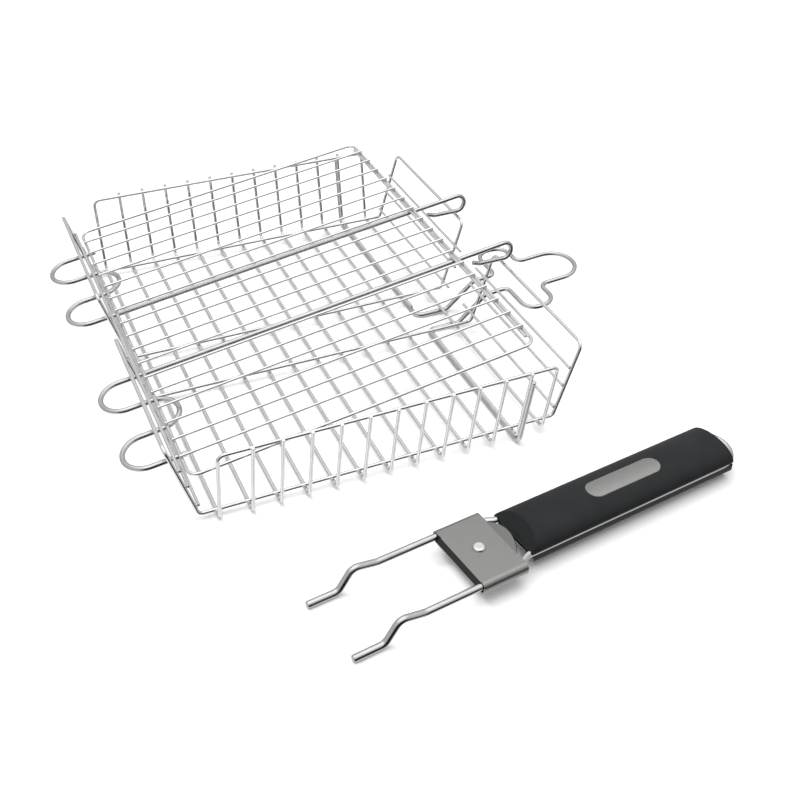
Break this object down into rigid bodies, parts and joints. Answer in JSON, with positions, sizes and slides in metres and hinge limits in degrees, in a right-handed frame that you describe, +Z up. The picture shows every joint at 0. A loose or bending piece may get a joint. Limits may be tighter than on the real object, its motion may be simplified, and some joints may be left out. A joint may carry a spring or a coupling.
{
  "type": "grill basket",
  "caption": "Wire barbecue basket with a tilting wire lid, a fixed loop at one end, and a detachable two-pronged handle with a sliding sleeve.",
  "frame": {"origin": "middle of the basket's floor, on the surface the basket and handle stand on", "axes": "+X towards the end wall with the gap and the loop, +Y towards the back wall, +Z up"},
  "size_m": [0.3744, 0.4475, 0.079],
  "materials": {
    "thin_wire": "bright plated drawn wire",
    "heavy_wire": "bright plated drawn wire",
    "grip": "fine matt moulding",
    "inlay": "satin with a bright bevelled rim",
    "fastener": "plain",
    "sleeve": "satin sheet",
    "guide": "plain moulding",
    "rivet": "domed, polished"
  },
  "bodies": {
    "basket": {"cross_wire_01": "thin_wire", "cross_wire_02": "thin_wire", "cross_wire_03": "thin_wire", "cross_wire_04": "thin_wire", "cross_wire_05": "thin_wire", "cross_wire_06": "thin_wire", "cross_wire_07": "thin_wire", "cross_wire_08": "thin_wire", "cross_wire_09": "thin_wire", "cross_wire_10": "thin_wire", "cut_wire_front": "thin_wire", "cut_wire_back": "thin_wire", "loop_wire": "heavy_wire", "wall_rim": "thin_wire", "end_frame_front": "thin_wire", "end_frame_back": "thin_wire", "gap_bar_front_1": "thin_wire", "gap_bar_front_2": "thin_wire", "gap_bar_front_3": "thin_wire", "gap_bar_back_1": "thin_wire", "gap_bar_back_2": "thin_wire", "gap_bar_back_3": "thin_wire", "tongue_bar_1": "thin_wire", "tongue_bar_2": "thin_wire", "tongue_bar_3": "thin_wire"},
    "lid": {"lid_rim": "thin_wire", "lid_wire_01": "thin_wire", "lid_wire_02": "thin_wire", "lid_wire_03": "thin_wire", "lid_wire_04": "thin_wire", "lid_wire_05": "thin_wire", "lid_wire_06": "thin_wire", "lid_wire_07": "thin_wire", "lid_wire_08": "thin_wire", "lid_wire_09": "thin_wire", "lid_wire_10": "thin_wire", "lid_wire_11": "thin_wire", "lid_wire_12": "thin_wire", "lid_wire_13": "thin_wire", "lid_wire_14": "thin_wire", "lid_wire_15": "thin_wire", "lid_wire_16": "thin_wire", "lid_wire_17": "thin_wire", "lid_brace": "thin_wire", "hook_wire_front": "heavy_wire", "hook_wire_back": "heavy_wire"},
    "handle": {"handle_frame": "heavy_wire", "grip_upper": "grip", "grip_lower": "grip", "inlay_plate": "inlay", "grip_screws": "fastener"},
    "sleeve": {"sleeve_wrap": "sleeve", "sleeve_block": "guide", "sleeve_rivet": "rivet"}
  },
  "joints": [
    {"name": "lid_hinge", "type": "hinge", "parent": "basket", "child": "lid", "pos_m": [-0.13465, 0, 0.03888], "axis": [0, -1, 0], "range_deg": [0, 60]},
    {"name": "handle_lift", "type": "slide", "parent": "basket", "child": "handle", "axis": [0, 0, 1], "range_m": [0, 0.15]},
    {"name": "sleeve_slide", "type": "slide", "parent": "handle", "child": "sleeve", "axis": [-0.9898, -0.1426, 0], "range_m": [0, 0.035]}
  ]
}
